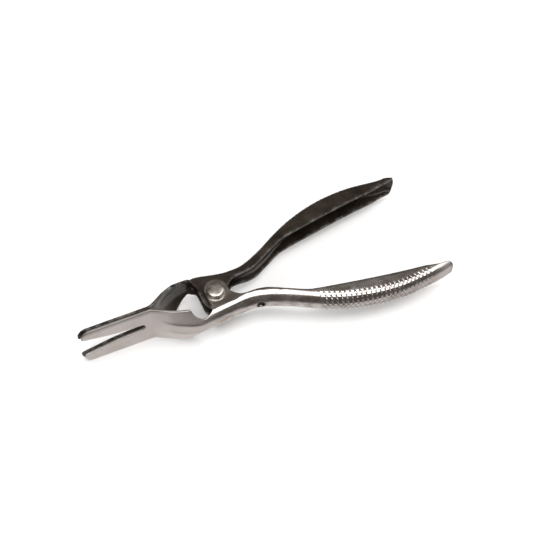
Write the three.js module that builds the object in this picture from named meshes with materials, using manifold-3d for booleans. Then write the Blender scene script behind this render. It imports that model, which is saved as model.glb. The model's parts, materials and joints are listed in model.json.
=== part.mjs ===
// Slotted-jaw spreading pliers: two mirror-image levers pressed from sheet steel, held by one rivet.
// Each lever is a channel: a web on the outside and two side walls. Beyond the rivet the channel
// unfolds into a flat fork plate with a tapered slot. The two plates lie face to face at rest, and
// squeezing the handles spreads them.
//
// Millimetres. X runs along the tool from the fork tips to the handle ends, Z is the rivet's axis.
// The shapes are worked out about the rivet, then moved so that the origin is under the middle of
// the whole tool, level with the lower edges of the fork plates.

import * as THREE from 'three';
import { mergeVertices } from 'three/addons/utils/BufferGeometryUtils.js';
import Module from 'manifold-3d';

const wasm = await Module();
wasm.setup();

// Driving dimensions. "Depth" is the distance from the tool's midline out towards a lever's web.
const SHEET = 1.6;
const JAW_TIP = -82.9;
const OUTER_TIP_SHORTFALL = 1.2;
const HANDLE_END = 138.2;
const CHANNEL_HALF = 6.9;
const PLATE_HALF = 13.6;
const PLATE_GAP = 0.4;
const NEST_GAP = 0.3;
const WING_GAP = 0.3;
const EAR_BEND_RADIUS = 5.2;
const NESTED_BEND_RADIUS = 4.8;
const GRIP_BEND_RADIUS = 6.6;
const END_BEND_RADIUS = 4.2;
const MIN_BEND_TANGENT = 1.0;
const BEND_SEGMENTS = 8;
const SLOPE_STEP = 0.05;

// The fork plate and its slot.
const PLATE_ROOT = -42;
const NECK_START = -11.6;
const SLOT_ROOT = -44.3;
const SLOT_ROOT_HALF = 2.2;
const PRONG_ROUND = 5.6;

// The round ears about the rivet: the outer pair on one lever, the wider inner pair on the other.
const OUTER_EAR = { radius: 6.9, x: 0.9, beyond: 2.0 };
const INNER_EAR = { radius: 8.4, x: -0.1, beyond: 2.0 };

// The rivet.
const RIVET_RADIUS = 3.4;
const RIVET_CLEARANCE = 0.06;
const RIVET_HEAD_RADIUS = 5.6;
const RIVET_HEAD_HEIGHT = 2.8;
const RIVET_HEAD_RIM = 0.6;
const RIVET_SEAT_GAP = 0.1;
const ROUND_SEGMENTS = 48;

// A small round hole in each web behind the ears.
const WEB_HOLE_X = 22.3;
const WEB_HOLE_RADIUS = 2.3;

// Depth of the arch between wing and ear, measured from the midline to its crown.
const ARCH_DEPTH = 13.0;

// Rounding of the handle's end, and how far its corners pull back from the full width.
const END_ROUND = 6.0;
const END_PULL = 0.6;

// How far the cutting prisms reach: across the whole tool, and just past a face.
const CUT_REACH = 30;
const CUT_PAST = 2;

// Smooth curve through [x, value] pairs, straight beyond both ends.
function curve(points) {
  const slopes = points.map((point, i) => {
    const before = points[Math.max(i - 1, 0)];
    const after = points[Math.min(i + 1, points.length - 1)];
    return (after[1] - before[1]) / (after[0] - before[0]);
  });
  return (x) => {
    const last = points.length - 1;
    if (x <= points[0][0]) return points[0][1];
    if (x >= points[last][0]) return points[last][1];
    const i = points.findIndex((point) => point[0] > x) - 1;
    const [x0, y0] = points[i];
    const [x1, y1] = points[i + 1];
    const width = x1 - x0;
    const t = (x - x0) / width;
    const rise = t * t * (3 - 2 * t);
    const leave = t * (1 - t) * (1 - t) * slopes[i];
    const arrive = t * t * (t - 1) * slopes[i + 1];
    return y0 + (y1 - y0) * rise + width * (leave + arrive);
  };
}

// Depth of the web's outer face.
const webDepth = curve([
  [PLATE_ROOT, PLATE_GAP / 2 + SHEET], [-40.5, 2.0], [-37.5, 3.8], [-34, 6.6], [-30, 9.8], [-26, 12.3],
  [-21, 14.7], [-16, 15.9], [-11, 16.2], [0, 15.2], [10, 14.3], [17, 14.4], [22, 14.9], [30, 17.5],
  [39, 21.7], [48, 26.9], [58, 32.3], [70, 37.1], [84, 40.8], [97, 42.3], [108, 42.3], [120, 41.1],
  [130, 39.6], [HANDLE_END, 37.8],
]);

// Half height of the channel, the radius of its bends, and how far its web stands out beyond the common
// curve. The inner lever's channel is narrower round the rivet, where it nests inside the outer one. Its
// web bulges over the ears and flares at the handle's end.
const NESTED_HALF = CHANNEL_HALF - SHEET - NEST_GAP;
const OUTER_CHANNEL = {
  half: curve([[-24, 8.2], [-12, CHANNEL_HALF]]),
  radius: curve([
    [9, EAR_BEND_RADIUS], [16, GRIP_BEND_RADIUS], [56, GRIP_BEND_RADIUS], [108, END_BEND_RADIUS],
  ]),
  bulge: curve([[60, 0], [90, -0.4], [HANDLE_END, -0.4]]),
};
const INNER_CHANNEL = {
  half: curve([[-24, 7.8], [-12.5, 7.6], [-9, NESTED_HALF], [14, NESTED_HALF], [32, CHANNEL_HALF]]),
  radius: curve([
    [14, NESTED_BEND_RADIUS], [32, GRIP_BEND_RADIUS], [56, GRIP_BEND_RADIUS], [108, END_BEND_RADIUS],
  ]),
  bulge: curve([
    [-19, 0], [-13, 0.5], [-8, 2.2], [-4, 2.4], [0, 1.9], [4, 1.3], [11, 0.4], [18, 0.2], [30, 0.5],
    [44, 1.1], [60, 0.8], [90, 0.4], [124, 0.4], [129, 0.9], [133, 1.9], [HANDLE_END, 1.2],
  ]),
};

// The waist between fork plate and ears: where the plate's edge ends, the pull of the curve there, where
// the curve turns, and where it runs out into the neck.
const OUTER_WAIST = { wingEnd: -19.2, pull: [-18.7, 9.1], turn: -14.8, neckFrom: -12, neckHalf: 5.4 };
const INNER_WAIST = { wingEnd: -23.3, pull: [-22.6, 13.1], turn: -15.0, neckFrom: -12.4, neckHalf: 6.6 };

// Bend angle between web and wall in degrees: flat at the fork plate, square from the ears on.
const bendDegrees = curve([
  [-41, 0], [-35.5, 6.5], [-31.5, 11.5], [-26, 17.5], [-20, 22], [-13.5, 26], [-11.5, 42], [-8.8, 90],
]);

// Wall height behind the ears, before the free edge is trimmed.
const wallHeight = curve([[-13, 30], [12, 30], [30, 17], [HANDLE_END, 15]]);

// Depth of the handle walls' free edge, from the ears to the handle's end. It is cut in short steps
// that crowd together towards the ears.
const EDGE_STEPS = 26;
const EDGE_CROWDING = 1.4;
const FREE_EDGE = [
  [8.2, 2.6], [12.5, 6.6], [17, 7.5], [23, 7.7], [29.5, 9.3], [40, 14.9], [50, 20.1], [58, 22.2],
  [68, 24.2], [82, 26.9], [98, 29.7], [112, 31.8], [121, 33.0], [128, 34.7], [134, 35.2],
  [HANDLE_END, 35.0],
];

// Half width of the slot, from its rounded root to its mouth.
const SLOT_ROUND_X = SLOT_ROOT - SLOT_ROOT_HALF;
const SLOT_EDGE = [[SLOT_ROUND_X, SLOT_ROOT_HALF], [-56, 2.8], [-64.5, 3.8], [-73, 5.5], [JAW_TIP, 7.6]];

// Where the cross-sections stand: close together on the bends, far apart on the plain handle.
function stations() {
  const spans = [
    [JAW_TIP, PLATE_ROOT, 50], [PLATE_ROOT, -38, 0.8], [-38, -20, 1.5], [-20, -8, 1],
    [-8, 14, 2], [14, 32, 4], [32, 126, 6], [126, HANDLE_END, 2],
  ];
  const xs = [];
  for (const [from, to, step] of spans) {
    const count = Math.ceil((to - from) / step);
    for (let i = 0; i < count; i += 1) xs.push(from + ((to - from) * i) / count);
  }
  xs.push(HANDLE_END);
  return xs;
}

// One wall's half of a cross-section, from the web out to the free edge. Each entry holds a point of
// the outer face and the turn of the sheet there, from 0 on the web to the bend angle on the wall.
function halfSection(x, channel) {
  const bend = THREE.MathUtils.degToRad(bendDegrees(x));
  const full = channel.radius(x);
  const flat = channel.half(x) - full;
  const tangent = Math.max(MIN_BEND_TANGENT, full * Math.tan(bend / 2));
  const radius = tangent / Math.tan(Math.max(bend, 1e-3) / 2);
  const points = [];
  for (let i = 0; i <= BEND_SEGMENTS; i += 1) {
    const turn = (bend * i) / BEND_SEGMENTS;
    const along = bend > 1e-2 ? radius * Math.sin(turn) : (2 * tangent * i) / BEND_SEGMENTS;
    const rise = bend > 1e-2 ? radius * (1 - Math.cos(turn)) : 0;
    points.push({ z: flat + along, rise, turn });
  }
  const corner = flat + tangent;
  const length = x < NECK_START ? (PLATE_HALF - corner) / Math.cos(bend) : wallHeight(x);
  points.push({ z: corner + length * Math.cos(bend), rise: length * Math.sin(bend), turn: bend });
  return points;
}

// A closed ring of points round the sheet's cross-section at one station.
function section(x, channel) {
  const half = halfSection(x, channel);
  const depthAt = (place) => webDepth(place) + channel.bulge(place);
  const slope = (depthAt(x + SLOPE_STEP) - depthAt(x - SLOPE_STEP)) / (2 * SLOPE_STEP);
  const depth = depthAt(x);
  const face = (point, side, inset) => {
    const thickness = inset * Math.hypot(1, slope * Math.cos(point.turn));
    const z = point.z - thickness * Math.sin(point.turn);
    return [x, depth - point.rise - thickness * Math.cos(point.turn), side * z];
  };
  const outward = [...half].reverse();
  return [
    ...outward.map((point) => face(point, 1, 0)),
    ...half.map((point) => face(point, -1, 0)),
    ...outward.map((point) => face(point, -1, SHEET)),
    ...half.map((point) => face(point, 1, SHEET)),
  ];
}

// Solid between matching closed rings of points.
function loft(rings) {
  const size = rings[0].length;
  const positions = rings.flat(2);
  const index = [];
  for (let r = 0; r + 1 < rings.length; r += 1) {
    for (let i = 0; i < size; i += 1) {
      const a = r * size + i;
      const b = r * size + ((i + 1) % size);
      index.push(a, a + size, b, b, a + size, b + size);
    }
  }
  // Each end ring is a thin strip, so it closes with quads across the sheet.
  const last = (rings.length - 1) * size;
  for (let i = 0; i + 1 < size / 2; i += 1) {
    const j = size - 1 - i;
    index.push(i, i + 1, j, i + 1, j - 1, j);
    index.push(last + i, last + j, last + i + 1, last + i + 1, last + j, last + j - 1);
  }
  const geometry = new THREE.BufferGeometry();
  geometry.setAttribute('position', new THREE.Float32BufferAttribute(positions, 3));
  geometry.setIndex(index);
  return geometry;
}

function toSolid(geometry) {
  const bare = geometry.clone();
  bare.deleteAttribute('normal');
  bare.deleteAttribute('uv');
  const merged = mergeVertices(bare, 1e-5);
  return new wasm.Manifold(new wasm.Mesh({
    numProp: 3,
    vertProperties: new Float32Array(merged.attributes.position.array),
    triVerts: new Uint32Array(merged.index.array),
  }));
}

// Prism of a side-view outline drawn in x and depth, through the whole height.
function sidePrism(shape) {
  const options = { depth: 2 * CUT_REACH, bevelEnabled: false, curveSegments: 12 };
  const prism = new THREE.ExtrudeGeometry(shape, options);
  prism.translate(0, 0, -CUT_REACH);
  return toSolid(prism);
}

// Prism of an outline drawn in x and z, through the whole depth.
function planPrism(shape) {
  const options = { depth: 3 * CUT_REACH, bevelEnabled: false, curveSegments: 12 };
  const prism = new THREE.ExtrudeGeometry(shape, options);
  prism.rotateX(Math.PI / 2);
  prism.translate(0, 2 * CUT_REACH, 0);
  return toSolid(prism);
}

// Everything cut from the walls: whatever reaches the midline ahead of the rivet, the arch between
// wing and ear, and all beyond the free edge of the handle.
function wallTrim(ear) {
  const archStart = NECK_START - 3.4;
  const archCrown = NECK_START - 1.5;
  const earLeft = ear.x - ear.radius;
  const shape = new THREE.Shape();
  shape.moveTo(JAW_TIP - CUT_PAST, -CUT_REACH);
  shape.lineTo(JAW_TIP - CUT_PAST, WING_GAP / 2);
  shape.lineTo(archStart, WING_GAP / 2);
  shape.lineTo(archStart, ARCH_DEPTH - 2.5);
  shape.quadraticCurveTo(archCrown, ARCH_DEPTH, NECK_START, ARCH_DEPTH);
  shape.lineTo(earLeft - 2.6, ARCH_DEPTH);
  shape.quadraticCurveTo(earLeft - 0.6, ARCH_DEPTH - 0.4, earLeft, 8.5);
  shape.lineTo(earLeft, -ear.beyond);
  shape.absarc(ear.x, -ear.beyond, ear.radius, Math.PI, 2 * Math.PI, false);
  const edge = curve(FREE_EDGE);
  const [edgeStart] = FREE_EDGE[0];
  for (let i = 0; i <= EDGE_STEPS; i += 1) {
    const x = edgeStart + (HANDLE_END - edgeStart) * (i / EDGE_STEPS) ** EDGE_CROWDING;
    shape.lineTo(x, edge(x));
  }
  shape.lineTo(HANDLE_END + CUT_PAST, edge(HANDLE_END));
  shape.lineTo(HANDLE_END + CUT_PAST, -CUT_REACH);
  return sidePrism(shape);
}

// What the waist takes from one edge of the sheet.
function waistCut({ wingEnd, pull, turn, neckFrom, neckHalf }, ear, side) {
  const end = ear.x - ear.radius - CUT_PAST;
  const outside = side * 2 * PLATE_HALF;
  const neck = side * neckHalf;
  const shape = new THREE.Shape();
  shape.moveTo(wingEnd, outside);
  shape.lineTo(wingEnd, side * PLATE_HALF);
  shape.bezierCurveTo(pull[0], side * pull[1], turn, neck, neckFrom, neck);
  shape.lineTo(NECK_START, neck);
  shape.quadraticCurveTo(end, neck, end, side * (CHANNEL_HALF + 0.2));
  shape.lineTo(end, outside);
  return planPrism(shape);
}

// The tapered slot, open at the fork's tips.
function slot() {
  const shape = new THREE.Shape();
  const upper = SLOT_EDGE.map(([x, half]) => new THREE.Vector2(x, half));
  const lower = [...upper].reverse().map((point) => new THREE.Vector2(point.x, -point.y));
  shape.moveTo(upper[0].x, upper[0].y);
  shape.splineThru(upper.slice(1));
  shape.lineTo(JAW_TIP - CUT_PAST, upper[upper.length - 1].y);
  shape.lineTo(JAW_TIP - CUT_PAST, lower[0].y);
  shape.lineTo(lower[0].x, lower[0].y);
  shape.splineThru(lower.slice(1));
  shape.absarc(SLOT_ROUND_X, 0, SLOT_ROOT_HALF, -Math.PI / 2, Math.PI / 2, false);
  return planPrism(shape);
}

// What is left of the sheet seen from the web side: rounded prong corners and a rounded handle end.
// Between the fork plate and the handle's last stretch the outline stands clear of the sheet.
function planOutline(tip) {
  const clear = PLATE_HALF + 6;
  const clearFrom = PLATE_ROOT + 4;
  const clearTo = HANDLE_END - 38;
  const round = PRONG_ROUND;
  const shape = new THREE.Shape();
  shape.moveTo(PLATE_ROOT - CUT_PAST, -PLATE_HALF);
  shape.lineTo(clearFrom, -clear);
  shape.lineTo(clearTo, -clear);
  shape.lineTo(clearTo, -CHANNEL_HALF - 0.01);
  shape.lineTo(HANDLE_END - END_ROUND, -CHANNEL_HALF);
  shape.quadraticCurveTo(HANDLE_END, -CHANNEL_HALF + END_PULL, HANDLE_END, 0);
  shape.quadraticCurveTo(HANDLE_END, CHANNEL_HALF - END_PULL, HANDLE_END - END_ROUND, CHANNEL_HALF);
  shape.lineTo(clearTo, CHANNEL_HALF + 0.01);
  shape.lineTo(clearTo, clear);
  shape.lineTo(clearFrom, clear);
  shape.lineTo(PLATE_ROOT - CUT_PAST, PLATE_HALF);
  shape.lineTo(tip + round, PLATE_HALF);
  shape.absarc(tip + round, PLATE_HALF - round, round, Math.PI / 2, Math.PI, false);
  shape.lineTo(tip, -PLATE_HALF + round);
  shape.absarc(tip + round, -PLATE_HALF + round, round, Math.PI, 1.5 * Math.PI, false);
  return planPrism(shape);
}

// Round bar along Z, or along Y when lying.
function bar(radius, length, lying = false) {
  const geometry = new THREE.CylinderGeometry(radius, radius, length, ROUND_SEGMENTS);
  if (!lying) geometry.rotateX(Math.PI / 2);
  return geometry;
}

// One lever about the rivet's axis, its web at positive Y.
function leverSolid(channel, waist, ear, tip) {
  const rings = stations().map((x) => section(x, channel));
  const webHole = bar(WEB_HOLE_RADIUS, 4 * SHEET, true);
  webHole.translate(WEB_HOLE_X, webDepth(WEB_HOLE_X) - SHEET / 2, 0);
  return toSolid(loft(rings))
    .subtract(wallTrim(ear))
    .subtract(waistCut(waist, ear, 1))
    .subtract(waistCut(waist, ear, -1))
    .intersect(planOutline(tip))
    .subtract(slot())
    .subtract(toSolid(webHole))
    .subtract(toSolid(bar(RIVET_RADIUS + RIVET_CLEARANCE, 2 * CUT_REACH)));
}

// Rivet with a domed head on top and the same dome formed below.
function rivetGeometry() {
  const seat = CHANNEL_HALF + RIVET_SEAT_GAP;
  const domeSteps = 6;
  const half = [];
  for (let i = 0; i <= domeSteps; i += 1) {
    const angle = (Math.PI / 2) * (1 - i / domeSteps);
    const height = RIVET_HEAD_RIM + (RIVET_HEAD_HEIGHT - RIVET_HEAD_RIM) * Math.sin(angle);
    half.push(new THREE.Vector2(RIVET_HEAD_RADIUS * Math.cos(angle), seat + height));
  }
  half[0].x = 0;
  half.push(new THREE.Vector2(RIVET_HEAD_RADIUS, seat), new THREE.Vector2(RIVET_RADIUS, seat));
  const lower = [...half].reverse().map((point) => new THREE.Vector2(point.x, -point.y));
  const profile = [...half, ...lower].reverse();
  const geometry = new THREE.LatheGeometry(profile, ROUND_SEGMENTS);
  geometry.rotateX(Math.PI / 2);
  return geometry;
}

// Turns a finished solid into a mesh, mirrored across the midline when asked, in the tool's frame.
function toMesh(name, solid, material, mirrored) {
  const { vertProperties, triVerts } = solid.getMesh();
  const geometry = new THREE.BufferGeometry();
  geometry.setAttribute('position', new THREE.Float32BufferAttribute(vertProperties, 3));
  const index = Array.from(triVerts);
  if (mirrored) {
    geometry.scale(1, -1, 1);
    index.reverse();
  }
  geometry.setIndex(index);
  geometry.translate(-(JAW_TIP + HANDLE_END) / 2, 0, PLATE_HALF);
  geometry.computeVertexNormals();
  const mesh = new THREE.Mesh(geometry, material);
  mesh.name = name;
  return mesh;
}

function metal(name, color, metalness, roughness) {
  return new THREE.MeshStandardMaterial({ name, color, metalness, roughness });
}

const outerLever = leverSolid(OUTER_CHANNEL, OUTER_WAIST, OUTER_EAR, JAW_TIP + OUTER_TIP_SHORTFALL);
const innerLever = leverSolid(INNER_CHANNEL, INNER_WAIST, INNER_EAR, JAW_TIP);

const group = new THREE.Group();
group.name = 'spreading_pliers';
group.add(toMesh('lever_plated', outerLever, metal('plated', 0xc9c6c2, 1, 0.25), true));
group.add(toMesh('lever_black', innerLever, metal('black', 0x2a2623, 0.8, 0.4), false));
group.add(toMesh('rivet', toSolid(rivetGeometry()), metal('rivet', 0xb9b4a8, 1, 0.35), false));

export default group;
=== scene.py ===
"""Slotted-jaw spreading pliers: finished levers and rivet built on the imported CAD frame.

Each lever is one pressing, so each is one sheet here: an outline drawn on the unrolled sheet, filled
with a fine net, folded up, and given a thickness with rounded edges. Sheet shapes are worked out in
millimetres about the rivet, as "x" along the tool, "depth" out from the midline and "height" along
the rivet, and are turned into the frame's metres in one place.
"""
import json
import math

import bpy
import numpy as np
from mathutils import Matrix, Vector
from mathutils.geometry import delaunay_2d_cdt


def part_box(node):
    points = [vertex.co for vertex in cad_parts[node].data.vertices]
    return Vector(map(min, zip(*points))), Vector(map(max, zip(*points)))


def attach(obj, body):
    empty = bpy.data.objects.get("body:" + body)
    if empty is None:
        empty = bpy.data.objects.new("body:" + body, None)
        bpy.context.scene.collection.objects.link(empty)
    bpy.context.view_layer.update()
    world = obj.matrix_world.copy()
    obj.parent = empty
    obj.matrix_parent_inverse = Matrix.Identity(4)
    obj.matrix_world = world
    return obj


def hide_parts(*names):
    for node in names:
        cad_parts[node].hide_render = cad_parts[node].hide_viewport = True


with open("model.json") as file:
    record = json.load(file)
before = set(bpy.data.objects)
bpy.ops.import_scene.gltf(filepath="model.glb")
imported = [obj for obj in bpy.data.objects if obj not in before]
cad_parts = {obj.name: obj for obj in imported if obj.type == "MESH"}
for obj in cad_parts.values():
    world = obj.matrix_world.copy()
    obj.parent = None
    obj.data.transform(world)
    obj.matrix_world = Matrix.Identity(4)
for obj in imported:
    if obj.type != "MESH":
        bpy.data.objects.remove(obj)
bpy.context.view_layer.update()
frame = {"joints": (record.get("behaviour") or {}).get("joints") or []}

MM = 0.001
PIVOT = Vector(frame["joints"][0]["pos_m"])
PLATED_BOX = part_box("lever_plated")
BLACK_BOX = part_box("lever_black")
RIVET_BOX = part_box("rivet")

# Main sizes, read off the frame.
JAW_TIP = (BLACK_BOX[0].x - PIVOT.x) / MM
PLATED_TIP = (PLATED_BOX[0].x - PIVOT.x) / MM
HANDLE_END = (BLACK_BOX[1].x - PIVOT.x) / MM
# How far the visual stays inside the CAD's outline.
EDGE_TRIM = 0.01
PLATE_HALF = (BLACK_BOX[1].z - BLACK_BOX[0].z) / (2 * MM) - EDGE_TRIM

# The sheet and its bends.
SHEET = 1.6
CHANNEL_HALF = 6.9
PLATE_GAP = 0.4
NEST_GAP = 0.3
EAR_BEND_RADIUS = 5.2
NESTED_BEND_RADIUS = 4.8
GRIP_BEND_RADIUS = 6.6
END_BEND_RADIUS = 4.2
MIN_BEND_TANGENT = 1.0
MIN_BEND = 1e-3
SLOPE_STEP = 0.05
EDGE_ROUND = 0.32

# The fork plate, its slot, the waist and the arch.
PLATE_ROOT = -42.0
SLOT_ROOT = -44.3
SLOT_ROOT_HALF = 2.2
PRONG_ROUND = 5.6
ARCH_DEPTH = 13.0
END_ROUND = 6.0
END_HALF = 4.6

# The ears, the rivet's hole and the small hole in each web.
EAR_DROP = 2.0
EAR_TOP = 4.0
SHOULDER_FOOT = 8.5
SHOULDER_LENGTH = 1.9
RIVET_HOLE = 3.46
WEB_HOLE_X = 22.3
WEB_HOLE_RADIUS = 2.3


def smooth_curve(points):
    """Smooth function through (x, value) pairs, constant beyond both ends."""
    xs, ys = np.array(points, float).T
    before = np.maximum(np.arange(len(xs)) - 1, 0)
    after = np.minimum(np.arange(len(xs)) + 1, len(xs) - 1)
    slopes = (ys[after] - ys[before]) / (xs[after] - xs[before])

    def value(x):
        x = np.clip(x, xs[0], xs[-1])
        i = np.clip(np.searchsorted(xs, x, side="right") - 1, 0, len(xs) - 2)
        width = xs[i + 1] - xs[i]
        t = (x - xs[i]) / width
        rise = t * t * (3 - 2 * t)
        leave = t * (1 - t) ** 2 * slopes[i]
        arrive = t * t * (t - 1) * slopes[i + 1]
        return ys[i] + (ys[i + 1] - ys[i]) * rise + width * (leave + arrive)

    return value


# Depth of the web's outer face.
web_depth = smooth_curve([
    (PLATE_ROOT, PLATE_GAP / 2 + SHEET), (-40.5, 2.0), (-37.5, 3.8), (-34, 6.6), (-30, 9.8),
    (-26, 12.3), (-21, 14.7), (-16, 15.9), (-11, 16.2), (0, 15.2), (10, 14.3), (17, 14.4), (22, 14.9),
    (30, 17.5), (39, 21.7), (48, 26.9), (58, 32.3), (70, 37.1), (84, 40.8), (97, 42.3), (108, 42.3),
    (120, 41.1), (130, 39.6), (HANDLE_END, 37.8),
])

# Bend between web and wall in degrees: flat at the fork plate, square from the ears on.
bend_degrees = smooth_curve([
    (-41, 0), (-35.5, 6.5), (-31.5, 11.5), (-26, 17.5), (-20, 22), (-13.5, 26), (-11.5, 42), (-8.8, 90),
])

# Depth of the handle walls' free edge, and half width of the slot.
FREE_EDGE_START = 8.2
free_edge = smooth_curve([
    (FREE_EDGE_START, 2.6), (12.5, 6.6), (17, 7.5), (23, 7.7), (29.5, 9.3), (40, 14.9), (50, 20.1),
    (58, 22.2), (68, 24.2), (82, 26.9), (98, 29.7), (112, 31.8), (121, 33.0), (128, 34.7), (134, 35.2),
    (HANDLE_END, 35.0),
])
slot_half = smooth_curve([
    (JAW_TIP, 7.6), (-73, 5.5), (-64.5, 3.8), (-56, 2.8), (SLOT_ROOT - SLOT_ROOT_HALF, SLOT_ROOT_HALF),
])

# The two levers: their side of the tool, the tip, the ear and the hatch, then the half height of the
# channel, the radius of its bends, how far the web stands out beyond the common curve, and the waist.
# The waist is one curve, drawn from the fork plate's edge toward "pull" and into the neck.
NESTED_HALF = CHANNEL_HALF - SHEET - NEST_GAP
PLATED = {
    "side": -1, "tip": PLATED_TIP, "ear_x": 0.9, "ear_radius": 6.9, "hatch_depth": 0.34, "hatch_reach": 11.0,
    "half": smooth_curve([(-24, 8.2), (-12, CHANNEL_HALF)]),
    "radius": smooth_curve([(9, EAR_BEND_RADIUS), (16, GRIP_BEND_RADIUS), (56, GRIP_BEND_RADIUS),
                            (108, END_BEND_RADIUS)]),
    "bulge": smooth_curve([(60, 0), (90, -0.4), (HANDLE_END, -0.4)]),
    "waist": {"wing_end": -19.2, "pull": (-18.7, 9.1), "turn": -14.8, "neck_from": -12, "neck_half": 5.4},
}
BLACK = {
    "side": 1, "tip": JAW_TIP, "ear_x": -0.1, "ear_radius": 8.4, "hatch_depth": 0.16, "hatch_reach": 7.2,
    "half": smooth_curve([(-24, 7.8), (-12.5, 7.6), (-9, NESTED_HALF), (14, NESTED_HALF),
                          (32, CHANNEL_HALF)]),
    "radius": smooth_curve([(14, NESTED_BEND_RADIUS), (32, GRIP_BEND_RADIUS), (56, GRIP_BEND_RADIUS),
                            (108, END_BEND_RADIUS)]),
    "bulge": smooth_curve([
        (-19, 0), (-13, 0.5), (-8, 2.2), (-4, 2.4), (0, 1.9), (4, 1.3), (11, 0.4), (18, 0.2), (30, 0.5),
        (44, 1.1), (60, 0.8), (90, 0.4), (124, 0.4), (129, 0.9), (133, 1.9), (HANDLE_END, 1.2),
    ]),
    "waist": {"wing_end": -23.3, "pull": (-22.6, 13.1), "turn": -15, "neck_from": -12.4, "neck_half": 6.6},
}


def depth_at(lever, x):
    """Depth of this lever's web."""
    return web_depth(x) + lever["bulge"](x)


def bend_at(lever, x):
    """Flat half of the web, angle of the bend and its radius."""
    bend = np.radians(bend_degrees(x))
    full = lever["radius"](x)
    tangent = np.maximum(MIN_BEND_TANGENT, full * np.tan(bend / 2))
    return lever["half"](x) - full, bend, tangent / np.tan(np.maximum(bend, MIN_BEND) / 2)


def fold(lever, x, along, inset=0.0):
    """Folds points of the unrolled sheet, "along" counted from the web's middle and "inset" from the
    outer face. Gives depth and height."""
    flat, bend, radius = bend_at(lever, x)
    reach = np.abs(along)
    turn = np.clip((reach - flat) / radius, 0, bend)
    straight = np.maximum(reach - flat - radius * bend, 0)
    slope = (depth_at(lever, x + SLOPE_STEP) - depth_at(lever, x - SLOPE_STEP)) / (2 * SLOPE_STEP)
    thickness = inset * np.hypot(1, slope * np.cos(turn))
    height = np.minimum(reach, flat) + radius * np.sin(turn) + straight * np.cos(bend)
    rise = radius * (1 - np.cos(turn)) + straight * np.sin(bend)
    depth = depth_at(lever, x) - rise - thickness * np.cos(turn)
    return depth, np.sign(along) * (height - thickness * np.sin(turn))


# How far the sheet is searched from the web's middle for a given depth or height, and in what steps.
SEARCH_REACH = 50
SEARCH_STEP = 0.05


def along_at(lever, x, depth=None, height=None):
    """Distance along the sheet from the web's middle to a given depth or height, for each x."""
    tries = np.arange(0, SEARCH_REACH, SEARCH_STEP)
    found = []
    for k, one in enumerate(x):
        depths, heights = fold(lever, np.full_like(tries, one), tries)
        if height is not None:
            found.append(np.interp(height[k], heights, tries))
        else:
            found.append(np.interp(-depth[k], -depths, tries))
    return np.array(found)


def bezier(*corners, count=16):
    """Points of one Bezier curve."""
    t = np.linspace(0, 1, count)[:, None]
    points = [np.array(c, float)[None, :] for c in corners]
    while len(points) > 1:
        points = [a * (1 - t) + b * t for a, b in zip(points, points[1:])]
    return points[0]


def arc(x, y, radius, start, end, count=20):
    """Points of an arc, its angles in degrees."""
    angle = np.radians(np.linspace(start, end, count))
    return np.column_stack([x + radius * np.cos(angle), y + radius * np.sin(angle)])


def from_above(lever, points):
    """Points given as x and height, laid on the unrolled sheet."""
    x, height = np.array(points).T
    return np.column_stack([x, along_at(lever, x, height=height)])


def from_side(lever, points):
    """Points given as x and depth, laid on the unrolled sheet."""
    x, depth = np.array(points).T
    return np.column_stack([x, along_at(lever, x, depth=depth)])


def prong_edge(lever):
    """Root of the slot, the prong's edge along it and the prong's rounded corner. The plate is flat
    here, so a height is also a distance along the sheet."""
    tip = lever["tip"]
    root = arc(SLOT_ROOT - SLOT_ROOT_HALF, 0, SLOT_ROOT_HALF, 0, 90)
    slot_x = np.linspace(SLOT_ROOT - SLOT_ROOT_HALF, tip, 40)[1:]
    slot = np.column_stack([slot_x, slot_half(slot_x)])
    corner = arc(tip + PRONG_ROUND, PLATE_HALF - PRONG_ROUND, PRONG_ROUND, 180, 90)
    return np.vstack([root, slot, corner])


def wing_edge(lever):
    """The fork plate's straight outer edge and the waist behind it."""
    cut = lever["waist"]
    wing_x = np.linspace(lever["tip"] + PRONG_ROUND, cut["wing_end"], 70)[1:]
    wing = np.column_stack([wing_x, np.full_like(wing_x, PLATE_HALF)])
    waist = bezier((cut["wing_end"], PLATE_HALF), cut["pull"], (cut["turn"], cut["neck_half"]),
                   (cut["neck_from"], cut["neck_half"]))[1:]
    return from_above(lever, np.vstack([wing, waist]))


def ear_edge(lever):
    """The shoulder, which curves from the arch down to the ear's front, and the round ear."""
    ear_x, radius = lever["ear_x"], lever["ear_radius"]
    front = ear_x - radius
    shoulder = bezier((front - SHOULDER_LENGTH, ARCH_DEPTH - 0.4), (front - 0.6, ARCH_DEPTH - 1.0),
                      (front, SHOULDER_FOOT))
    ear = arc(ear_x, -EAR_DROP, radius, 180, 360, 48)
    return from_side(lever, np.vstack([shoulder, [(front, EAR_TOP)], ear]))


def handle_edge(lever):
    """The handle wall's free edge and the rounded end, which meets the midline square."""
    run = np.linspace(FREE_EDGE_START, HANDLE_END - END_ROUND, 120)
    edge = from_side(lever, np.column_stack([run, free_edge(run)]))
    last_x, last_along = edge[-1]
    end_along = from_above(lever, [(HANDLE_END, END_HALF)])[0, 1]
    end = bezier((last_x, last_along), (last_x + 0.6 * END_ROUND, 0.95 * last_along),
                 (HANDLE_END, 1.4 * end_along), (HANDLE_END, 0), count=40)[1:]
    return np.vstack([edge, end])


def upper_outline(lever):
    """Upper half of the sheet's outline, from the slot's root round the prong to the handle's end."""
    return np.vstack([prong_edge(lever), wing_edge(lever), ear_edge(lever), handle_edge(lever)])


# Spacing of the outline's points, and how often its corners are rounded off.
OUTLINE_STEP = 0.55
OUTLINE_ROUNDS = 3


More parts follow.
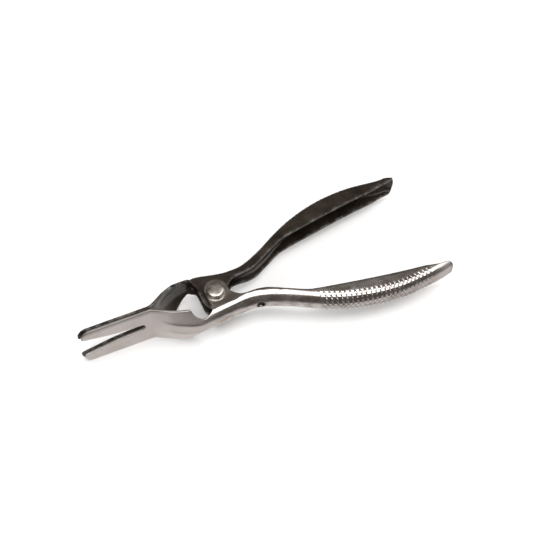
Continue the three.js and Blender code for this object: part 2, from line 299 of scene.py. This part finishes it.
def even_spacing(loop, step):
    """The closed loop again, with points evenly spaced."""
    closed = np.vstack([loop, loop[:1]])
    run = np.concatenate([[0], np.cumsum(np.hypot(*np.diff(closed, axis=0).T))])
    places = np.linspace(0, run[-1], int(run[-1] / step), endpoint=False)
    return np.column_stack([np.interp(places, run, closed[:, k]) for k in (0, 1)])


def soften(loop, rounds):
    """Rounds the corners of a closed loop."""
    for _ in range(rounds):
        loop = (np.roll(loop, 1, 0) + 2 * loop + np.roll(loop, -1, 0)) / 4
    return loop


def outward(loop):
    """Unit vectors that point away from the material on a loop's left."""
    tangent = np.roll(loop, -1, 0) - np.roll(loop, 1, 0)
    tangent /= np.linalg.norm(tangent, axis=1)[:, None]
    return np.column_stack([tangent[:, 1], -tangent[:, 0]])


def is_counterclockwise(loop):
    """Whether a closed loop has its inside on its left."""
    x, y = loop.T
    return np.sum(x * np.roll(y, -1) - np.roll(x, -1) * y) > 0


def sheet_loops(lever):
    """The outline and the holes of the unrolled sheet. Each loop has the material on its left."""
    upper = upper_outline(lever)
    lower = (upper * (1, -1))[::-1][1:-1]
    outline = soften(even_spacing(np.vstack([upper, lower]), OUTLINE_STEP), OUTLINE_ROUNDS)
    if not is_counterclockwise(outline):
        outline = outline[::-1]
    loops = [outline, arc(WEB_HOLE_X, 0, WEB_HOLE_RADIUS, 360, 0, 33)[:-1]]
    upper_hole = from_side(lever, arc(0, 0, RIVET_HOLE, 0, 360, 49)[:-1])
    for hole in (upper_hole, upper_hole * (1, -1)):
        loops.append(hole[::-1] if is_counterclockwise(hole) else hole)
    return loops


# The cross-hatch pressed into the grip: two families of grooves that cross and fade at the borders.
HATCH_START = 53.0
HATCH_END = 125.0
HATCH_PITCH = 2.8
HATCH_LEAN = 0.62
HATCH_WIDTH = 0.3
HATCH_END_FADE = 4
HATCH_SIDE_FADE = 1.6


def hatch(lever, x, along):
    """How deep the grooves are, from 0 to 1."""
    grooves = 0
    for lean in (HATCH_LEAN, -HATCH_LEAN):
        phase = (x / HATCH_PITCH + lean * along / HATCH_PITCH + 0.5) % 1 - 0.5
        grooves = np.maximum(grooves, np.clip(1 - np.abs(phase) / HATCH_WIDTH, 0, 1))
    start = np.clip((x - HATCH_START) / HATCH_END_FADE, 0, 1)
    end = np.clip((HATCH_END - x) / HATCH_END_FADE, 0, 1)
    sides = np.clip((lever["hatch_reach"] - np.abs(along)) / HATCH_SIDE_FADE, 0, 1)
    return grooves * (start * end) * sides


# Painted shade along each shallow bend of the jaw, strong on the upper side and faint on the lower.
CREASE_START = -36.0
CREASE_START_FADE = 7
CREASE_END = -11.0
CREASE_END_FADE = 5
CREASE_WIDTH = 0.9
LOWER_CREASE = 0.3

# A painted dark reflection along the upper edge of the fork plate.
RIM_WIDTH = 3.6
RIM_END = -30
RIM_END_FADE = 8
RIM_SHADE = 0.85


def jaw_shade(lever, x, along):
    """Painted shade from 0 to 1 along the shallow bends of the jaw, and a painted dark reflection along the
    upper edge of the fork.
    """
    flat, bend, radius = bend_at(lever, x)
    across = (np.abs(along) - flat - 0.5 * radius * bend) / CREASE_WIDTH
    start = np.clip((x - CREASE_START) / CREASE_START_FADE, 0, 1)
    end = np.clip((CREASE_END - x) / CREASE_END_FADE, 0, 1)
    crease = np.exp(-across * across) * (start * end) * np.where(along > 0, 1.0, LOWER_CREASE)
    upper = np.clip((along - PLATE_HALF + RIM_WIDTH) / RIM_WIDTH, 0, 1)
    rim = upper * np.clip((RIM_END - x) / RIM_END_FADE, 0, 1)
    return np.maximum(crease, RIM_SHADE * rim)


def inside_loop(points, loop):
    """Which points lie inside a closed loop, by counting crossings."""
    inside = np.zeros(len(points), bool)
    for (x0, y0), (x1, y1) in zip(loop, np.roll(loop, -1, 0)):
        if y0 != y1:
            spans = (y0 > points[:, 1]) != (y1 > points[:, 1])
            inside ^= spans & (points[:, 0] < x0 + (points[:, 1] - y0) * (x1 - x0) / (y1 - y0))
    return inside


def inside_sheet(points, loops):
    """Which points lie inside the outline and outside every hole."""
    inside = inside_loop(points, loops[0])
    for hole in loops[1:]:
        inside &= ~inside_loop(points, hole)
    return inside


def distance_to(points, loops):
    """Distance from each point to the nearest point of any loop."""
    most_at_once = 60
    best = np.full(len(points), np.inf)
    for loop in loops:
        for chunk in np.array_split(loop, max(1, len(loop) // most_at_once)):
            gaps = np.linalg.norm(points[:, None, :] - chunk[None, :, :], axis=2)
            best = np.minimum(best, gaps.min(axis=1))
    return best


# The net: stretches of the tool, each with its spacing of lines along x, across the web and round the
# bends. The hatch needs the finest net.
COARSE_ACROSS = (1.0, 0.5)
FINE_ACROSS = (0.34, 0.36)
NET_SPANS = (
    (JAW_TIP, PLATE_ROOT, 2.0, COARSE_ACROSS), (PLATE_ROOT, -6, 0.5, COARSE_ACROSS),
    (-6, HATCH_START, 0.8, COARSE_ACROSS), (HATCH_START, HATCH_END, 0.34, FINE_ACROSS),
    (HATCH_END, HANDLE_END, 0.5, COARSE_ACROSS),
)
MIN_BEND_LINES = 4
WALL_LINES = np.arange(1.0, 40, 1.2)
NET_MARGIN = EDGE_ROUND + 0.16


def net_points(lever, loops):
    """Points inside the outline, on lines that follow the bends."""
    found = []
    for start, end, step, (flat_step, bend_step) in NET_SPANS:
        for x in np.arange(start, end, step):
            flat, bend, radius = (float(v) for v in bend_at(lever, x))
            arc_length = radius * bend
            flat_count = max(1, round(flat / flat_step))
            bend_count = max(MIN_BEND_LINES, round(arc_length / bend_step))
            reach = np.concatenate([
                np.linspace(0, flat, flat_count, endpoint=False),
                flat + np.linspace(0, arc_length, bend_count + 1),
                flat + arc_length + WALL_LINES,
            ])
            both = np.concatenate([reach, -reach[1:]])
            found.append(np.column_stack([np.full_like(both, x), both]))
    points = np.vstack(found)
    points = points[inside_sheet(points, loops)]
    return points[distance_to(points, loops) > NET_MARGIN]


# How close two points of the net have to be to become one.
MERGE_REACH = 1e-5


def fill_sheet(loops, net):
    """Fills the unrolled sheet with triangles. Gives its points, the triangles and, for each loop, which
    points lie on it."""
    edges = []
    rims = []
    count = 0
    for loop in loops:
        rim = np.arange(count, count + len(loop))
        edges += zip(rim.tolist(), np.roll(rim, -1).tolist())
        rims.append(rim)
        count += len(loop)
    corners = [Vector(point) for point in np.vstack(loops + [net])]
    result = delaunay_2d_cdt(corners, edges, [], 0, MERGE_REACH, True)
    points = np.array([tuple(point) for point in result[0]])
    triangles = np.array(result[2])
    inside = inside_sheet(points[triangles].mean(axis=1), loops)
    place = {old: new for new, olds in enumerate(result[3]) for old in olds}
    return points, triangles[inside], [np.array([place[old] for old in rim]) for rim in rims]


def add_piece(name, vertices, faces):
    """A smooth-shaded object made of these vertices and faces."""
    mesh = bpy.data.meshes.new(name)
    mesh.from_pydata(vertices, [], faces)
    mesh.shade_smooth()
    piece = bpy.data.objects.new(name, mesh)
    bpy.context.scene.collection.objects.link(piece)
    return piece


class FoldedSheet:
    """Vertices and faces of one lever in the frame's metres, with the tones that its material reads."""

    def __init__(self, lever):
        self.lever = lever
        self.vertices = []
        self.faces = []
        self.tones = {"wear": [], "groove": [], "shade": []}
        self.count = 0

    def add(self, points, inset, **tones):
        """Folds points of the unrolled sheet, "inset" below the outer face. Gives their numbers."""
        x, along = points.T
        depth, height = fold(self.lever, x, along, inset)
        across = self.lever["side"] * (depth - EDGE_TRIM)
        self.vertices.append(np.column_stack([
            x * MM + PIVOT.x, across * MM + PIVOT.y, height * MM + PIVOT.z,
        ]))
        for label, values in self.tones.items():
            values.append(np.broadcast_to(tones[label], len(points)))
        self.count += len(points)
        return np.arange(self.count - len(points), self.count)

    def join(self, ring, following):
        """A closed strip of faces between two rings of vertices."""
        self.faces += zip(ring, following, np.roll(following, -1), np.roll(ring, -1))

    def finish(self, name):
        """The sheet as an object. A mirrored lever needs its faces the other way round."""
        order = -1 if self.lever["side"] > 0 else 1
        faces = [[int(corner) for corner in face[::order]] for face in self.faces]
        piece = add_piece(name, np.vstack(self.vertices).tolist(), faces)
        for label, values in self.tones.items():
            attribute = piece.data.attributes.new(label, "FLOAT", "POINT")
            attribute.data.foreach_set("value", np.concatenate(values))
        return piece


# How far the edge tones reach in from an edge: bare metal on the edges and the painted edge shade.
EDGE_TONE_REACH = 0.7


def add_faces(sheet, points, triangles, loops):
    """The sheet's outer and inner face, both with the pressed hatch. Gives both faces' vertices."""
    groove = hatch(sheet.lever, *points.T)
    tones = {
        "wear": np.exp(-distance_to(points, loops) / EDGE_TONE_REACH),
        "groove": groove,
        "shade": jaw_shade(sheet.lever, *points.T),
    }
    sink = groove * sheet.lever["hatch_depth"]
    outer = sheet.add(points, sink, **tones)
    inner = sheet.add(points, SHEET + sink, **tones)
    sheet.faces += [tuple(outer[corners]) for corners in triangles]
    sheet.faces += [tuple(inner[corners[::-1]]) for corners in triangles]
    return outer, inner


def add_edge(sheet, loop, normal, outer, inner):
    """The rounded edge along one loop, from the outer face over to the inner face."""
    corner = [(math.sin(angle), EDGE_ROUND * (1 - math.cos(angle))) for angle in np.radians((30, 60, 90))]
    steps = corner + [(out, SHEET - inset) for out, inset in reversed(corner)]
    rings = [outer]
    for out, inset in steps:
        ring = loop + normal * EDGE_ROUND * out
        rings.append(sheet.add(ring, inset, wear=1.0, groove=0.0, shade=jaw_shade(sheet.lever, *loop.T)))
    rings.append(inner)
    for ring, following in zip(rings, rings[1:]):
        sheet.join(ring, following)


def build_lever(name, lever):
    """One pressed lever as a sheet with rounded edges."""
    loops = sheet_loops(lever)
    normals = [outward(loop) for loop in loops]
    inner_loops = [loop - normal * EDGE_ROUND for loop, normal in zip(loops, normals)]
    points, triangles, rims = fill_sheet(inner_loops, net_points(lever, loops))
    sheet = FoldedSheet(lever)
    outer, inner = add_faces(sheet, points, triangles, loops)
    for loop, normal, rim in zip(inner_loops, normals, rims):
        add_edge(sheet, loop, normal, outer[rim], inner[rim])
    return sheet.finish(name)


# The rivet, in millimetres: rim of its heads, their gap to the outer ears, and the shank.
HEAD_RIM = 0.5
HEAD_GAP = 0.1
SHANK_RADIUS = 3.4
# Height of the lower head against the upper one, the power that squares up the dome, and the dome's
# steps in degrees.
LOWER_HEAD = 0.92
DOME_FLATNESS = 0.52
DOME_STEP = 6
RIVET_SEGMENTS = 72


def rivet_profile():
    """Radius and height of the rivet's outline from top to bottom: a domed head with a rolled rim, the
    shank, and the lower head, which is a little flatter."""
    top = RIVET_BOX[1].z - PIVOT.z
    seat = (CHANNEL_HALF + HEAD_GAP) * MM
    head = (RIVET_BOX[1].x - RIVET_BOX[0].x) / 2
    rim = HEAD_RIM * MM
    upper = []
    for degrees in range(0, 91, DOME_STEP):
        angle = math.radians(degrees)
        reach = (head - rim * 0.2) * math.sin(angle) ** DOME_FLATNESS
        rise = (top - seat - rim) * max(math.cos(angle), 0) ** DOME_FLATNESS
        upper.append((reach, seat + rim + rise))
    upper += [(head, seat + rim * 0.7), (head, seat + rim * 0.3), (head - rim * 0.3, seat)]
    upper.append((SHANK_RADIUS * MM, seat))
    return upper + [(radius, -(seat + (height - seat) * LOWER_HEAD)) for radius, height in reversed(upper)]


def build_rivet(name):
    """The rivet, turned from its profile. On the axis a ring is one vertex and its faces are triangles."""
    vertices = []
    rings = []
    for radius, height in rivet_profile():
        count = RIVET_SEGMENTS if radius > 0 else 1
        rings.append([len(vertices) + k % count for k in range(RIVET_SEGMENTS + 1)])
        for k in range(count):
            turn = 2 * math.pi * k / RIVET_SEGMENTS
            x = PIVOT.x + radius * math.cos(turn)
            y = PIVOT.y + radius * math.sin(turn)
            vertices.append((x, y, PIVOT.z + height))
    faces = []
    for ring, following in zip(rings, rings[1:]):
        for k in range(RIVET_SEGMENTS):
            corners = (ring[k], following[k], following[k + 1], ring[k + 1])
            faces.append(tuple(dict.fromkeys(corners)))
    return add_piece(name, vertices, faces)


# ---- materials ----

class Nodes:
    """Short names for building a node tree."""

    def __init__(self, name):
        self.material = bpy.data.materials.new(name)
        self.material.use_nodes = True
        self.tree = self.material.node_tree
        self.shader = self.tree.nodes["Principled BSDF"]

    def add(self, kind, inputs=None, **settings):
        node = self.tree.nodes.new(kind)
        for key, value in settings.items():
            setattr(node, key, value)
        for key, value in (inputs or {}).items():
            self.set(node.inputs[key], value)
        return node

    def set(self, socket, value):
        if isinstance(value, bpy.types.NodeSocket):
            self.tree.links.new(value, socket)
        else:
            socket.default_value = value

    def noise(self, scale, detail=4.0, stretch=(1, 1, 1)):
        coords = self.add("ShaderNodeTexCoord")
        mapping = self.add("ShaderNodeMapping", {"Vector": coords.outputs["Object"], "Scale": stretch})
        texture = self.add("ShaderNodeTexNoise", {
            "Vector": mapping.outputs["Vector"], "Scale": scale, "Detail": detail, "Roughness": 0.55,
        })
        return texture.outputs["Fac"]

    def ramp(self, value, low, high, to_low=0.0, to_high=1.0):
        node = self.add("ShaderNodeMapRange", {
            "Value": value, "From Min": low, "From Max": high, "To Min": to_low, "To Max": to_high,
        })
        return node.outputs["Result"]

    def along_tool(self, start, end):
        """0 before one place along the tool and 1 after another, in millimetres from the rivet."""
        place = self.add("ShaderNodeTexCoord").outputs["Object"]
        x = self.add("ShaderNodeSeparateXYZ", {"Vector": place}).outputs["X"]
        return self.ramp(x, PIVOT.x + start * MM, PIVOT.x + end * MM)

    def attribute(self, label):
        return self.add("ShaderNodeAttribute", attribute_name=label).outputs["Fac"]

    def mix(self, factor, a, b):
        node = self.add("ShaderNodeMix", data_type="RGBA")
        self.set(node.inputs[0], factor)
        self.set(node.inputs[6], a)
        self.set(node.inputs[7], b)
        return node.outputs[2]

    def math(self, operation, a, b=0.0):
        node = self.add("ShaderNodeMath", operation=operation)
        self.set(node.inputs[0], a)
        self.set(node.inputs[1], b)
        return node.outputs[0]

    def bump(self, height, strength, distance, normal=None):
        node = self.add("ShaderNodeBump", {"Height": height, "Strength": strength, "Distance": distance})
        if normal is not None:
            self.set(node.inputs["Normal"], normal)
        return node.outputs["Normal"]


# Colours of the plated lever.
PLATING_DULL = (0.45, 0.41, 0.385, 1)
PLATING_BRIGHT = (0.68, 0.66, 0.645, 1)
SATIN_DULL = (0.70, 0.655, 0.635, 1)
SATIN_BRIGHT = (0.84, 0.80, 0.78, 1)
SPECK = (0.30, 0.27, 0.25, 1)
BRIGHT_EDGE = (0.80, 0.78, 0.76, 1)
# Painted shade for the handle's edges.
PAINTED_EDGE_SHADE = (0.10, 0.085, 0.075, 1)
GROOVE_DARK_TONE = (0.30, 0.28, 0.27, 1)
# Painted shade for the jaw's creases, and a painted dark reflection for the fork's upper edge.
PAINTED_SHADE_TONE = (0.17, 0.155, 0.145, 1)

# Where the plated lever's finish, its bare edges and its painted edge shade change along the tool, each as
# the start and end of the change.
POLISH_BEGINS = (-16, -4)
POLISH_STOPS = (122, 133)
EDGE_WEAR_AND_SHADE_BEGIN = (-44, -26)
DARK_EDGES_BEGIN = (10, 24)


def plated_material():
    """Bright plating: satin on the jaw and the handle's tip, polished and mottled between them."""
    n = Nodes("plated")
    cloud = n.noise(60, 5)
    streaks = n.noise(160, 6, stretch=(0.25, 1, 1))
    mottle = n.ramp(n.noise(230, 4, stretch=(0.5, 1, 1)), 0.38, 0.62)
    handle = n.mix(mottle, PLATING_DULL, PLATING_BRIGHT)
    jaw = n.mix(n.ramp(cloud, 0.35, 0.65), SATIN_DULL, SATIN_BRIGHT)
    polished = n.math("SUBTRACT", n.along_tool(*POLISH_BEGINS), n.along_tool(*POLISH_STOPS))
    base = n.mix(polished, jaw, handle)
    spotted = n.mix(n.ramp(n.noise(900, 2), 0.66, 0.74, 0, 0.5), base, SPECK)

    # Edge tones: bright bare metal on the edges around the ears, painted shade along the handle's edges, and
    # none on the fork.
    edge_mask = n.math("MULTIPLY", n.attribute("wear"), n.along_tool(*EDGE_WEAR_AND_SHADE_BEGIN))
    on_handle = n.along_tool(*DARK_EDGES_BEGIN)
    edge = n.mix(on_handle, BRIGHT_EDGE, PAINTED_EDGE_SHADE)
    worn_and_shaded_edges = n.mix(n.math("MULTIPLY", edge_mask, n.ramp(on_handle, 0, 1, 0.35, 0.8)), spotted, edge)
    # Darker in the pressed grooves.
    groove_darkened = n.mix(n.math("MULTIPLY", n.attribute("groove"), 0.45), worn_and_shaded_edges, GROOVE_DARK_TONE)
    # Painted shade along the jaw's creases, and a painted dark reflection along the fork's upper edge.
    colour = n.mix(n.math("MULTIPLY", n.attribute("shade"), 0.85), groove_darkened, PAINTED_SHADE_TONE)
    n.set(n.shader.inputs["Base Color"], colour)
    n.set(n.shader.inputs["Metallic"], 1.0)

    polish = n.math("ADD", n.ramp(cloud, 0.3, 0.7, 0.13, 0.21), n.ramp(streaks, 0.4, 0.7, 0.0, 0.09))
    satin = n.ramp(polished, 0, 1, 0.26, 0)
    n.set(n.shader.inputs["Roughness"], n.math("ADD", polish, satin))
    normal = n.bump(streaks, 0.12, 0.0002, n.bump(n.noise(70, 2), 0.5, 0.0008))
    n.set(n.shader.inputs["Normal"], n.bump(n.noise(260, 3), 0.15, 0.0002, normal))
    return n.material


# Colours of the black lever.
FINISH_DARK = (0.010, 0.0075, 0.0055, 1)
FINISH_BROWN = (0.026, 0.019, 0.014, 1)
# Painted highlight for the hatch.
PAINTED_RIDGE_GLINT = (0.30, 0.27, 0.24, 1)
WORN_EDGE = (0.16, 0.145, 0.13, 1)


def black_material():
    """Black oxide, brownish in places, scuffed in patches along the edges, with painted highlights in
    patches on the hatch.
    """
    n = Nodes("black")
    cloud = n.noise(70, 5)
    streaks = n.noise(150, 6, stretch=(0.2, 1, 1))
    base = n.mix(n.ramp(cloud, 0.35, 0.65), FINISH_DARK, FINISH_BROWN)
    # Painted highlights in patches on the hatch's crests.
    glinting_ridges = n.math("MULTIPLY", n.attribute("groove"), n.ramp(n.noise(320, 3), 0.52, 0.60))
    glinted = n.mix(n.math("MULTIPLY", glinting_ridges, 0.22), base, PAINTED_RIDGE_GLINT)
    edge_mask = n.math("MULTIPLY", n.attribute("wear"), n.ramp(n.noise(220, 4), 0.48, 0.62))
    n.set(n.shader.inputs["Base Color"], n.mix(n.math("MULTIPLY", edge_mask, 0.6), glinted, WORN_EDGE))
    n.set(n.shader.inputs["Metallic"], 0.0)
    rough = n.math("ADD", n.ramp(cloud, 0.3, 0.7, 0.16, 0.28), n.ramp(streaks, 0.45, 0.7, 0.0, 0.12))
    n.set(n.shader.inputs["Roughness"], rough)
    normal = n.bump(streaks, 0.3, 0.0003, n.bump(n.noise(90, 3), 0.4, 0.0006))
    n.set(n.shader.inputs["Normal"], n.bump(n.noise(300, 4), 0.2, 0.0002, normal))
    return n.material


# Colours of the rivet.
STEEL_DULL = (0.62, 0.59, 0.53, 1)
STEEL_BRIGHT = (0.84, 0.81, 0.74, 1)
STAIN = (0.26, 0.24, 0.21, 1)


def rivet_material():
    """Bare steel with dark stains."""
    n = Nodes("rivet")
    cloud = n.noise(180, 5)
    stains = n.ramp(n.noise(260, 3, stretch=(0.6, 1.6, 1)), 0.50, 0.62, 0.0, 0.75)
    base = n.mix(n.ramp(cloud, 0.35, 0.65), STEEL_DULL, STEEL_BRIGHT)
    n.set(n.shader.inputs["Base Color"], n.mix(stains, base, STAIN))
    n.set(n.shader.inputs["Metallic"], 1.0)
    n.set(n.shader.inputs["Roughness"], n.ramp(cloud, 0.3, 0.7, 0.25, 0.42))
    n.set(n.shader.inputs["Normal"], n.bump(n.noise(420, 4), 0.25, 0.0002))
    return n.material


def floor_material():
    """Matt white studio paper."""
    n = Nodes("studio_floor")
    colour = n.mix(n.ramp(n.noise(3, 3), 0.3, 0.7), (0.86, 0.86, 0.86, 1), (0.90, 0.90, 0.90, 1))
    n.set(n.shader.inputs["Base Color"], colour)
    n.set(n.shader.inputs["Roughness"], 0.7)
    return n.material


# ---- the pieces ----

pieces = [
    (build_lever("lever_plated_finished", PLATED), "plated", "lever_plated", "plated", plated_material()),
    (build_lever("lever_black_finished", BLACK), "black", "lever_black", "black", black_material()),
    (build_rivet("rivet_finished"), "plated", "rivet", "rivet", rivet_material()),
]
for piece, body, node, slot, material in pieces:
    piece.data.materials.append(material)
    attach(piece, body)
    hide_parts(node)

# ---- floor, light and camera ----

# The floor is left out of the metal's reflections, where the room's tones stand in for it.
bpy.ops.mesh.primitive_plane_add(size=8, location=(0, 0, 0))
floor = bpy.context.object
floor.name = "floor"
floor.data.materials.append(floor_material())
floor.visible_glossy = False

# Colour of the room as the metal mirrors it, by height of the direction: 0 straight down, 0.5 level,
# 1 straight up. A pale table lies below, and the walls and the ceiling are dark.
ROOM_TONES = (
    (0.0, (0.84, 0.80, 0.775)), (0.12, (0.72, 0.685, 0.66)), (0.25, (0.56, 0.53, 0.515)),
    (0.31, (0.20, 0.187, 0.183)), (0.42, (0.13, 0.12, 0.117)), (0.60, (0.14, 0.128, 0.117)),
    (1.0, (0.165, 0.145, 0.127)),
)


def light_room():
    """Sets the world to the room's tones."""
    world = bpy.data.worlds.new("studio")
    world.use_nodes = True
    tree = world.node_tree
    toward = tree.nodes.new("ShaderNodeTexCoord")
    height = tree.nodes.new("ShaderNodeSeparateXYZ")
    lift = tree.nodes.new("ShaderNodeMapRange")
    lift.inputs["From Min"].default_value = -1.0
    tones = tree.nodes.new("ShaderNodeValToRGB")
    tree.links.new(toward.outputs["Generated"], height.inputs["Vector"])
    tree.links.new(height.outputs["Z"], lift.inputs["Value"])
    tree.links.new(lift.outputs["Result"], tones.inputs["Fac"])
    tree.links.new(tones.outputs["Color"], tree.nodes["Background"].inputs["Color"])
    stops = tones.color_ramp.elements
    for number, (where, tone) in enumerate(ROOM_TONES):
        if number == len(stops):
            stops.new(where)
        stops[number].position = where
        stops[number].color = (*tone, 1)
    bpy.context.scene.world = world


def area_light(name, place, target, size, power):
    """A rectangular light that looks from one place at another."""
    light = bpy.data.lights.new(name, "AREA")
    light.shape = "RECTANGLE"
    light.size, light.size_y = size
    light.energy = power
    lamp = bpy.data.objects.new(name, light)
    lamp.location = place
    lamp.rotation_euler = (Vector(target) - Vector(place)).to_track_quat("-Z", "Y").to_euler()
    bpy.context.scene.collection.objects.link(lamp)
    return lamp


def add_lights():
    """A key light that the metal mirrors, and two soft fills that it doesn't."""
    area_light("key", (0.3, -0.2, 1.4), (0.3, -0.2, 0), (2.4, 1.15), 26)
    for name, place in (("fill_front", (-0.3, -2.2, 1.6)), ("fill_back", (-0.6, 2.0, 1.6))):
        fill = area_light(name, place, (0, 0, 0), (2.5, 2.5), 44)
        fill.visible_glossy = False


# The photo's camera: its place and its aim from the rivet, in metres, and its lens.
CAMERA_PLACE = Vector((-0.11368, -0.32485, 0.47492))
CAMERA_AIM = Vector((0.03676, 0.00954, 0.0))
CAMERA_LENS = 67.5


def add_camera():
    """The view of the photo."""
    lens = bpy.data.cameras.new("camera")
    lens.sensor_width = 36
    lens.lens = CAMERA_LENS
    camera = bpy.data.objects.new("camera", lens)
    camera.location = PIVOT + CAMERA_PLACE
    camera.rotation_euler = (CAMERA_AIM - CAMERA_PLACE).to_track_quat("-Z", "Y").to_euler()
    bpy.context.scene.collection.objects.link(camera)
    bpy.context.scene.camera = camera


light_room()
add_lights()
add_camera()
bpy.context.scene.view_settings.view_transform = "Standard"
